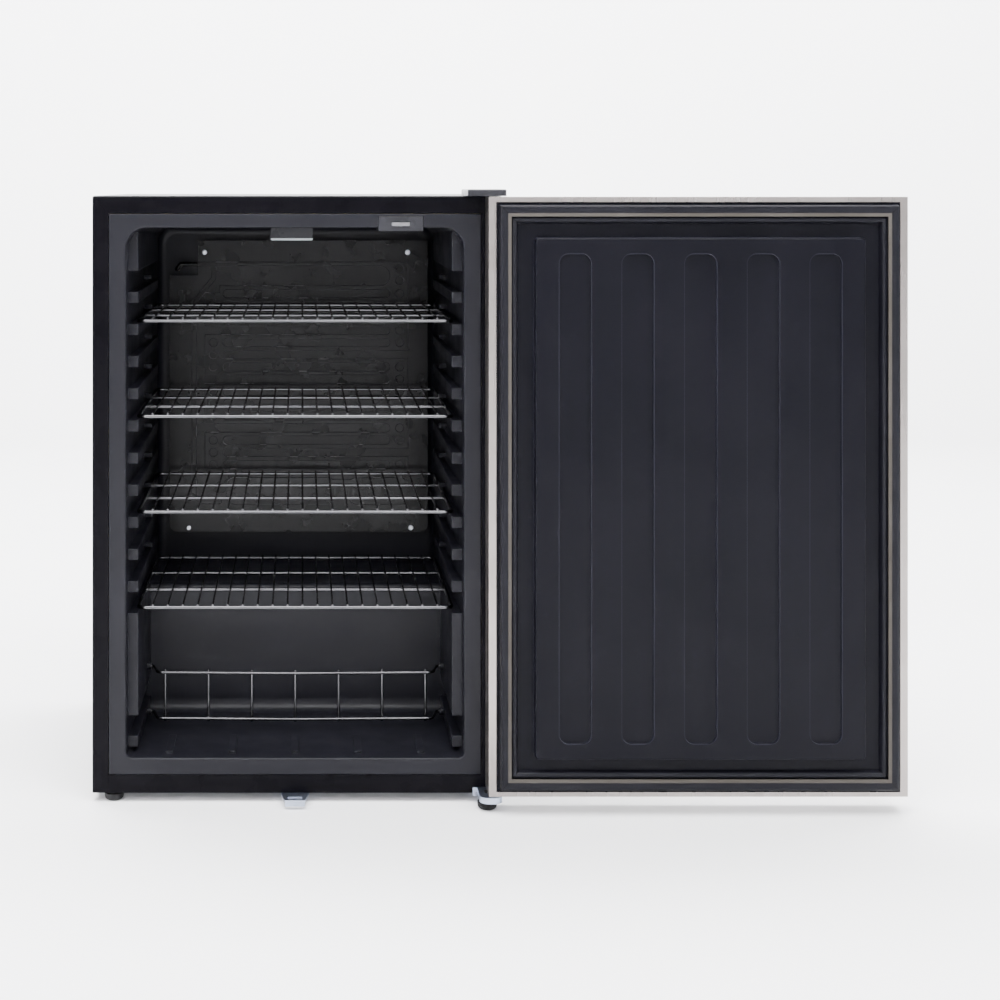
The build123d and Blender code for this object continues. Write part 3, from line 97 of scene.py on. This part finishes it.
bpy.ops.object.shade_smooth()


def areaLight(name, place, aim, size, power):
    data = bpy.data.lights.new(name, "AREA")
    data.shape = "RECTANGLE"
    data.size, data.size_y = size
    data.energy = power
    light = bpy.data.objects.new(name, data)
    bpy.context.scene.collection.objects.link(light)
    light.location = place
    light.rotation_euler = (Vector(aim) - Vector(place)).to_track_quat("-Z", "Y").to_euler()


# each light: where it stands, what it faces, its width and height, its power
lights = {
    "topSoft": ((0.1, -1.25, 3.2), (0.2, 0.1, 0.2), (3.4, 1.8), 300),
    "leftFront": ((-1.5, -3.2, 2.3), (0.1, 0.3, 0.45), (0.9, 0.9), 42),
    "rightFront": ((3.6, -1.4, 1.2), (0.8, 0, 0.45), (0.6, 2.2), 18),
    "backdropWash": ((0.2, 1.2, 3.9), (0.2, 2.9, 0.3), (6.0, 1.6), 900),
}
for name, (place, aim, size, power) in lights.items():
    areaLight(name, place, aim, size, power)
roomGlow = {"tint": (0.93, 0.95, 1.0, 1), "strength": 0.16}
world = bpy.data.worlds.new("studioWorld")
bpy.context.scene.world = world
world.use_nodes = True
world.node_tree.nodes["Background"].inputs["Color"].default_value = roomGlow["tint"]
world.node_tree.nodes["Background"].inputs["Strength"].default_value = roomGlow["strength"]
print("studio ready")


# what a finish has unless its own look says otherwise; metres for depths and widths
plainLook = {"metal": 0.0, "ior": 1.5, "specular": 0.15,
             # broad patches of the second shade, and where the noise turns from one to the other
             "patch": 9.0, "patchStretch": (1, 1, 1), "patchDetail": 3.0, "patchRange": (0.35, 0.65),
             # fine grain for the relief, and the part of it that carries specks
             "grain": 900.0, "grainStretch": (1, 1, 1), "grainDetail": 2.0, "speckleRange": (0.60, 0.72),
             # slow change of gloss
             "smear": 26.0, "smearStretch": (1, 1, 1), "smearDetail": 5.0, "smearRange": (0.3, 0.7),
             # grain relief, the edge rounding, and the painted edge highlight: a lighter colour laid on edges
             # where light would catch them
             "relief": 0.15, "reliefDepth": 0.0002, "edgeRange": (0.90, 0.995),
             "edgeSamples": 4, "paintedHighlightSamples": 6, "coatRoughness": 0.15}


def ramp(tree, source, low, high, start, end):
    node = tree.nodes.new("ShaderNodeMapRange")
    node.inputs["From Min"].default_value = low
    node.inputs["From Max"].default_value = high
    node.inputs["To Min"].default_value = start
    node.inputs["To Max"].default_value = end
    tree.links.new(source, node.inputs["Value"])
    return node.outputs["Result"]


def noiseField(tree, coords, look, kind):
    mapping = tree.nodes.new("ShaderNodeMapping")
    mapping.inputs["Scale"].default_value = look[kind + "Stretch"]
    tree.links.new(coords, mapping.inputs["Vector"])
    noise = tree.nodes.new("ShaderNodeTexNoise")
    noise.inputs["Scale"].default_value = look[kind]
    noise.inputs["Detail"].default_value = look[kind + "Detail"]
    tree.links.new(mapping.outputs["Vector"], noise.inputs["Vector"])
    return noise.outputs["Fac"]


def roundedNormal(tree, radius, samples):
    node = tree.nodes.new("ShaderNodeBevel")
    node.samples = samples
    node.inputs["Radius"].default_value = radius
    return node.outputs["Normal"]


# one colour laid over another (a socket or a plain colour) by a factor
def blend(tree, factor, under, over):
    node = tree.nodes.new("ShaderNodeMix")
    node.data_type = "RGBA"
    tree.links.new(factor, node.inputs["Factor"])
    if isinstance(under, tuple):
        node.inputs[6].default_value = (*under, 1)
    else:
        tree.links.new(under, node.inputs[6])
    node.inputs[7].default_value = (*over, 1)
    return node.outputs[2]


def makeFinish(name, ownLook):
    look = {**plainLook, **ownLook}
    material = bpy.data.materials.new(name)
    material.use_nodes = True
    tree = material.node_tree
    shader = tree.nodes["Principled BSDF"]
    shader.inputs["Metallic"].default_value = look["metal"]
    shader.inputs["IOR"].default_value = look["ior"]
    shader.inputs["Specular IOR Level"].default_value = look["specular"]
    if "coat" in look:
        shader.inputs["Coat Weight"].default_value = look["coat"]
        shader.inputs["Coat Roughness"].default_value = look["coatRoughness"]
    if "anisotropic" in look:
        shader.inputs["Anisotropic"].default_value = look["anisotropic"]
    if "transmission" in look:
        shader.inputs["Transmission Weight"].default_value = look["transmission"]
    coords = tree.nodes.new("ShaderNodeTexCoord").outputs["Object"]
    broad = noiseField(tree, coords, look, "patch")
    fine = noiseField(tree, coords, look, "grain")
    colour = blend(tree, ramp(tree, broad, *look["patchRange"], 0.0, 1.0), look["base"], look["shade"])
    if "speckle" in look:
        specks = ramp(tree, fine, *look["speckleRange"], 0.0, look["speckleAmount"])
        colour = blend(tree, specks, colour, look["speckle"])
    # painted highlight: edges get a lighter colour where the rounded normal leaves the true one, in place of
    # light that the edges would catch
    if "edgeTint" in look:
        facing = tree.nodes.new("ShaderNodeVectorMath")
        facing.operation = "DOT_PRODUCT"
        rim = roundedNormal(tree, look["edgeWidth"], look["paintedHighlightSamples"])
        tree.links.new(rim, facing.inputs[0])
        tree.links.new(tree.nodes.new("ShaderNodeNewGeometry").outputs["Normal"], facing.inputs[1])
        paintedHighlightMask = ramp(tree, facing.outputs["Value"], *look["edgeRange"], 1.0, 0.0)
        colour = blend(tree, paintedHighlightMask, colour, look["edgeTint"])
    tree.links.new(colour, shader.inputs["Base Color"])
    gloss = ramp(tree, noiseField(tree, coords, look, "smear"), *look["smearRange"], *look["rough"])
    tree.links.new(gloss, shader.inputs["Roughness"])
    bump = tree.nodes.new("ShaderNodeBump")
    bump.inputs["Strength"].default_value = look["relief"]
    bump.inputs["Distance"].default_value = look["reliefDepth"]
    tree.links.new(fine, bump.inputs["Height"])
    if "edge" in look:
        tree.links.new(roundedNormal(tree, look["edge"], look["edgeSamples"]), bump.inputs["Normal"])
    tree.links.new(bump.outputs["Normal"], shader.inputs["Normal"])
    return material


# base and shade are the two colours, rough the least and most roughness, edge the rounding of edges
looks = {
    "black_paint": {"base": (0.0012, 0.0010, 0.0019), "shade": (0.0018, 0.0015, 0.0026),
                    "rough": (0.24, 0.33), "specular": 0.05, "grain": 420, "relief": 0.10,
                    "reliefDepth": 0.0001, "edge": 0.0007},
    "galvanised": {"base": (0.42, 0.43, 0.45), "shade": (0.33, 0.34, 0.37), "rough": (0.34, 0.52),
                   "metal": 1.0, "patch": 60, "grain": 300, "relief": 0.06, "edge": 0.0004},
    "stainless": {"base": (0.30, 0.272, 0.26), "shade": (0.25, 0.226, 0.214), "rough": (0.24, 0.36),
                  "metal": 1.0, "grain": 900, "grainStretch": (1, 1, 0.012), "relief": 0.12,
                  "smear": 8, "smearStretch": (14, 14, 0.4), "anisotropic": 0.35, "edge": 0.0008},
    "zinc": {"base": (0.44, 0.50, 0.62), "shade": (0.36, 0.40, 0.50), "rough": (0.24, 0.40), "metal": 1.0,
             "patch": 80, "grain": 700, "relief": 0.08, "edge": 0.0006},
    "screw_steel": {"base": (0.55, 0.56, 0.60), "shade": (0.46, 0.47, 0.51), "rough": (0.22, 0.34),
                    "metal": 1.0, "patch": 200, "edge": 0.0003},
    "liner_plastic": {"base": (0.0052, 0.0052, 0.0075), "shade": (0.0070, 0.0070, 0.0098),
                      "rough": (0.32, 0.42), "specular": 0.14, "grain": 700, "relief": 0.12, "edge": 0.0012},
    # door liner plastic, with a painted highlight: a lighter blue-grey colour on the groove and plateau edges
    # in place of light that they catch
    "door_plastic": {"base": (0.0020, 0.0020, 0.0038), "shade": (0.0030, 0.0029, 0.0050),
                     "rough": (0.32, 0.42), "specular": 0.075, "grain": 700, "relief": 0.06,
                     "edgeTint": (0.022, 0.022, 0.032), "edgeWidth": 0.0018},
    "foam": {"base": (0.75, 0.68, 0.45), "shade": (0.80, 0.74, 0.52), "rough": (0.85, 0.95),
             "grain": 350, "relief": 0.5, "reliefDepth": 0.001},
    # evaporator coat, with a painted highlight: a lighter grey colour on the channel edges in place of light
    # that they catch; the specks are the coat's own
    "evaporator": {"base": (0.0022, 0.0022, 0.0026), "shade": (0.0034, 0.0034, 0.0038), "rough": (0.22, 0.30),
                   "specular": 0.16, "grain": 1500, "speckle": (0.012, 0.012, 0.013), "speckleAmount": 0.3,
                   "relief": 0.03, "edge": 0.0012, "edgeTint": (0.020, 0.020, 0.022), "edgeWidth": 0.0014},
    "spacer_plastic": {"base": (0.05, 0.05, 0.05), "shade": (0.06, 0.06, 0.06), "rough": (0.4, 0.5)},
    "black_wire": {"base": (0.10, 0.10, 0.105), "shade": (0.07, 0.07, 0.075), "rough": (0.16, 0.26),
                   "metal": 1.0, "grain": 500, "relief": 0.06},
    "control_plastic": {"base": (0.010, 0.010, 0.013), "shade": (0.013, 0.013, 0.016),
                        "rough": (0.24, 0.34), "specular": 0.25,
                        "grain": 900, "relief": 0.08, "edge": 0.0005},
    "wheel_plastic": {"base": (0.16, 0.16, 0.17), "shade": (0.13, 0.13, 0.14), "rough": (0.3, 0.42),
                      "grain": 800, "relief": 0.1, "edge": 0.0003},
    "board": {"base": (0.03, 0.16, 0.07), "shade": (0.02, 0.12, 0.05), "rough": (0.3, 0.4), "patch": 120},
    "lens": {"base": (0.80, 0.84, 0.88), "shade": (0.74, 0.78, 0.83), "rough": (0.30, 0.42),
             "transmission": 0.6, "grain": 1200, "relief": 0.2},
    "gasket": {"base": (0.0036, 0.0036, 0.0058), "shade": (0.0050, 0.0049, 0.0074), "rough": (0.36, 0.48),
               "specular": 0.11, "grain": 600, "relief": 0.08},
    "magnet": {"base": (0.04, 0.035, 0.03), "shade": (0.05, 0.045, 0.04), "rough": (0.6, 0.7)},
    "nylon": {"base": (0.72, 0.71, 0.66), "shade": (0.66, 0.65, 0.60), "rough": (0.35, 0.5), "edge": 0.0004},
    "lock_metal": {"base": (0.62, 0.62, 0.63), "shade": (0.55, 0.55, 0.57), "rough": (0.10, 0.22),
                   "metal": 1.0, "edge": 0.0004},
    "foot_plastic": {"base": (0.006, 0.006, 0.0065), "shade": (0.009, 0.009, 0.0095), "rough": (0.42, 0.6),
                     "grain": 500, "relief": 0.2},
    "compressor_paint": {"base": (0.014, 0.014, 0.016), "shade": (0.02, 0.02, 0.022),
                         "rough": (0.18, 0.3), "grain": 260, "relief": 0.2, "coat": 0.3, "edge": 0.001},
    "grommet": {"base": (0.02, 0.02, 0.02), "shade": (0.03, 0.03, 0.03), "rough": (0.6, 0.75)},
    "copper": {"base": (0.72, 0.36, 0.22), "shade": (0.55, 0.26, 0.15), "rough": (0.22, 0.42), "metal": 1.0,
               "patch": 40},
    "condenser_paint": {"base": (0.016, 0.016, 0.017), "shade": (0.022, 0.022, 0.024),
                        "rough": (0.35, 0.5), "grain": 400, "relief": 0.2},
    "tray_plastic": {"base": (0.035, 0.035, 0.037), "shade": (0.045, 0.045, 0.047), "rough": (0.4, 0.5),
                     "grain": 600, "relief": 0.15, "edge": 0.0006},
}
finishes = {name: makeFinish(name + "Finish", look) for name, look in looks.items()}
slotOf = {part["node"]: part["material_slot"] for part in frame["record"]["subparts"]}
backdropLook = {"base": (0.86, 0.86, 0.87), "shade": (0.83, 0.83, 0.84), "rough": (0.75, 0.85), "patch": 0.7,
                "grain": 60, "relief": 0.02}
backdrop.data.materials.append(makeFinish("paperSweep", backdropLook))
for name, obj in nodes.items():
    for holder in obj.material_slots:
        holder.material = finishes[slotOf[name]]
    if not obj.material_slots:
        obj.data.materials.append(finishes[slotOf[name]])
print("finishes set")


# door gasket: a flat outer lip, a groove and a raised inner bead, mitred at the corners
gasket = {"mitre": 0.0004, "mitreShade": (0.0004, 0.0004, 0.0005),
          "leastInset": 0.02, "wall": 0.0006, "sharp": 40,
          # inset from the outer edge, and height above the base, both in mm, around the section
          "section": [(0.0, 0.6), (0.3, 4.0), (0.8, 8.0), (1.3, 11.0), (2.0, 12.0), (3.0, 12.4), (6.5, 12.2),
                      (10.0, 11.6), (11.6, 11.0), (12.6, 9.6), (13.2, 7.4), (14.2, 6.2), (15.6, 6.2),
                      (16.6, 7.4), (17.8, 8.6), (19.4, 9.2), (21.2, 8.8), (22.6, 7.4), (23.6, 5.2),
                      (24.3, 2.8), (24.8, 0.8)]}
low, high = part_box("door_gasket")
deselectAll()
bpy.ops.mesh.primitive_plane_add(size=1, location=(0, 0, 0))
seal = bpy.context.object
seal.name = "gasketBellows"
bpy.ops.object.mode_set(mode="EDIT")
bpy.ops.transform.resize(value=(high[0] - low[0], high[2] - low[2], 1))
bpy.ops.transform.rotate(value=math.radians(-90), orient_axis="X", center_override=(0, 0, 0))
bpy.ops.mesh.select_all(action="SELECT")
bpy.ops.object.mode_set(mode="OBJECT")
faceUp = seal.data.polygons[0].normal.y
bpy.ops.object.mode_set(mode="EDIT")
if faceUp > 0:
    bpy.ops.mesh.flip_normals()
baseY = high[1]
bpy.ops.transform.translate(value=((low[0] + high[0]) / 2, baseY, (low[2] + high[2]) / 2))
lastInset, lastHeight = 0.0, 0.0
for inset, height in gasket["section"]:
    inward = max(inset - lastInset, gasket["leastInset"]) / 1000
    bpy.ops.mesh.inset(thickness=inward, depth=(height - lastHeight) / 1000,
                       use_boundary=True, use_even_offset=True)
    lastInset, lastHeight = inset, height
bpy.ops.mesh.delete(type="FACE")
bpy.ops.object.mode_set(mode="OBJECT")
solid = seal.modifiers.new("backing", "SOLIDIFY")
solid.thickness = gasket["wall"]
solid.offset = -1
bpy.ops.object.modifier_apply(modifier=solid.name)
bpy.ops.object.shade_smooth_by_angle(angle=math.radians(gasket["sharp"]))


# a dark line where the strips meet at 45 degrees in each corner
def markMitres(material, middle, half):
    tree = material.node_tree
    shader = tree.nodes["Principled BSDF"]

    def step(kind, first, second=None):
        node = tree.nodes.new("ShaderNodeMath")
        node.operation = kind
        for slot, value in enumerate([first] if second is None else [first, second]):
            if isinstance(value, float):
                node.inputs[slot].default_value = value
            else:
                tree.links.new(value, node.inputs[slot])
        return node.outputs[0]

    split = tree.nodes.new("ShaderNodeSeparateXYZ")
    tree.links.new(tree.nodes.new("ShaderNodeTexCoord").outputs["Object"], split.inputs[0])
    across = step("SUBTRACT", step("ABSOLUTE", step("SUBTRACT", split.outputs["X"], middle[0])), half[0])
    upward = step("SUBTRACT", step("ABSOLUTE", step("SUBTRACT", split.outputs["Z"], middle[1])), half[1])
    offMitre = step("ABSOLUTE", step("SUBTRACT", across, upward))
    onMitre = ramp(tree, offMitre, gasket["mitre"], 2 * gasket["mitre"], 1.0, 0.0)
    plain = shader.inputs["Base Color"].links[0].from_socket
    tree.links.new(blend(tree, onMitre, plain, gasket["mitreShade"]), shader.inputs["Base Color"])


markMitres(finishes["gasket"], ((low[0] + high[0]) / 2, (low[2] + high[2]) / 2),
           ((high[0] - low[0]) / 2, (high[2] - low[2]) / 2))
seal.data.materials.append(finishes["gasket"])
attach(seal, "door")
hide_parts("door_gasket")
print("gasket modelled")
